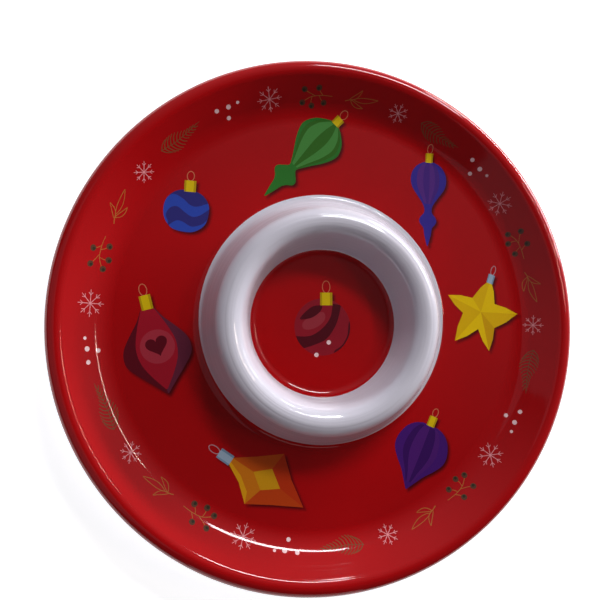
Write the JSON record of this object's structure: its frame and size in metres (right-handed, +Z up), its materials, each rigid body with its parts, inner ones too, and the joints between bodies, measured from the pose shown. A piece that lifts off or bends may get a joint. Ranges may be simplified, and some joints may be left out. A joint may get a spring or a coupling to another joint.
{
  "type": "chip and dip server",
  "caption": "Round moulded melamine serving tray with a raised ring walling off a central dip bowl, a sloped rim with a rolled lip, and glazed printed foils in tray and bowl.",
  "frame": {"origin": "on the table plane, at the server's axis, at the centre of the foot ring's base", "axes": "+Z up along the axis of revolution; +Y is the side at the top of the printed picture, and +X its right"},
  "size_m": [0.3302, 0.3302, 0.031],
  "materials": {
    "melamine": "white moulded melamine, polished by the mould, low orange peel",
    "tray_print": "red printed melamine foil with tree ornaments, sprigs, berries and snowflakes, under gloss glaze",
    "dip_print": "red printed melamine foil with one striped ornament, under gloss glaze",
    "glaze": "clear gloss melamine glaze"
  },
  "bodies": {
    "root": {"tray_body": "melamine", "tray_print_foil": "tray_print", "tray_glaze_coat": "glaze", "dip_print_foil": "dip_print", "dip_glaze_coat": "glaze"}
  },
  "joints": []
}
